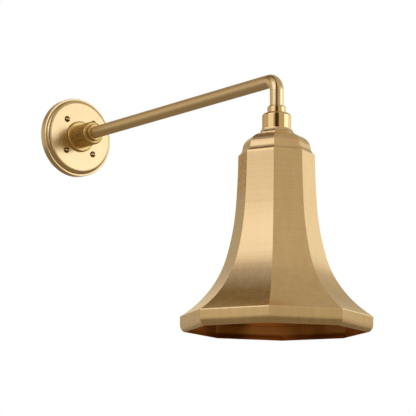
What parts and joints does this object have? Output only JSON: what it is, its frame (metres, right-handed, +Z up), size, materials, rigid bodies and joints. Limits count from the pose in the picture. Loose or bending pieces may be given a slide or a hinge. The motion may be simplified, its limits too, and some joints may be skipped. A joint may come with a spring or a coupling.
{
  "type": "wall sconce",
  "caption": "Wall sconce: a round wall plate and a long level arm tube with a tight elbow hold a hanging octagonal trumpet-shaped metal shade over a screw-in lamp.",
  "frame": {"origin": "centre of the wall plate's back, in the plane of the wall", "axes": "+Y into the wall, so the arm runs out along -Y; +Z up; +X to the right seen from the room"},
  "size_m": [0.2606, 0.6303, 0.4135],
  "materials": {
    "satin_brass": "satin brushed",
    "polished_brass": "semi-polished",
    "screw_brass": "turned",
    "zinc_steel": "zinc plated",
    "green_steel": "green dyed",
    "raw_brass": "stamped",
    "glazed_ceramic": "glazed",
    "black_phenolic": "moulded",
    "fibre": "pressed fibre",
    "black_wire": "insulation",
    "white_wire": "insulation",
    "lamp_metal": "rolled thread",
    "lamp_glass": "clear",
    "filament": "coated filament"
  },
  "bodies": {
    "fixture": {"wall_plate": "satin_brass", "hub_flange": "satin_brass", "hub_body": "satin_brass", "arm_collar": "satin_brass", "arm_tube": "satin_brass", "shade_neck": "satin_brass", "shade_facet_1": "satin_brass", "shade_facet_2": "satin_brass", "shade_facet_3": "satin_brass", "shade_facet_4": "satin_brass", "shade_facet_5": "satin_brass", "shade_facet_6": "satin_brass", "shade_facet_7": "satin_brass", "shade_facet_8": "satin_brass", "drop_collar": "polished_brass", "socket_cup": "polished_brass", "plate_screw_1": "screw_brass", "plate_screw_2": "screw_brass", "plate_screw_3": "screw_brass", "plate_screw_4": "screw_brass", "mounting_ring": "zinc_steel", "standoff_1": "zinc_steel", "standoff_2": "zinc_steel", "standoff_3": "zinc_steel", "standoff_4": "zinc_steel", "hub_nipple": "zinc_steel", "hub_locknut": "zinc_steel", "hub_lockwasher": "zinc_steel", "tube_bushing": "zinc_steel", "drop_nipple": "zinc_steel", "cup_locknut": "zinc_steel", "terminal_screw_1": "zinc_steel", "ground_screw": "green_steel", "screw_shell": "raw_brass", "centre_contact": "raw_brass", "terminal_screw_2": "raw_brass", "lampholder_body": "glazed_ceramic", "lampholder_cap": "black_phenolic", "shade_ring": "black_phenolic", "shade_washer": "fibre", "wire_line": "black_wire", "wire_neutral": "white_wire"},
    "lamp_carrier": {"bulb_contact": "lamp_metal"},
    "lamp": {"bulb_insulator": "black_phenolic", "bulb_base": "lamp_metal", "bulb_glass": "lamp_glass", "bulb_stem": "lamp_glass", "bulb_filament": "filament"}
  },
  "joints": [
    {"name": "lamp_travel", "type": "slide", "parent": "fixture", "child": "lamp_carrier", "axis": [0, 0, -1], "range_m": [0, 0.0218]},
    {"name": "lamp_turn", "type": "hinge", "parent": "lamp_carrier", "child": "lamp", "pos_m": [0, -0.5, -0.098], "axis": [0, 0, -1], "range_deg": [0, 2160]}
  ],
  "couplings": [
    {"joint": "lamp_travel", "follows": "lamp_turn", "m_per_rad": 0.00057756}
  ]
}
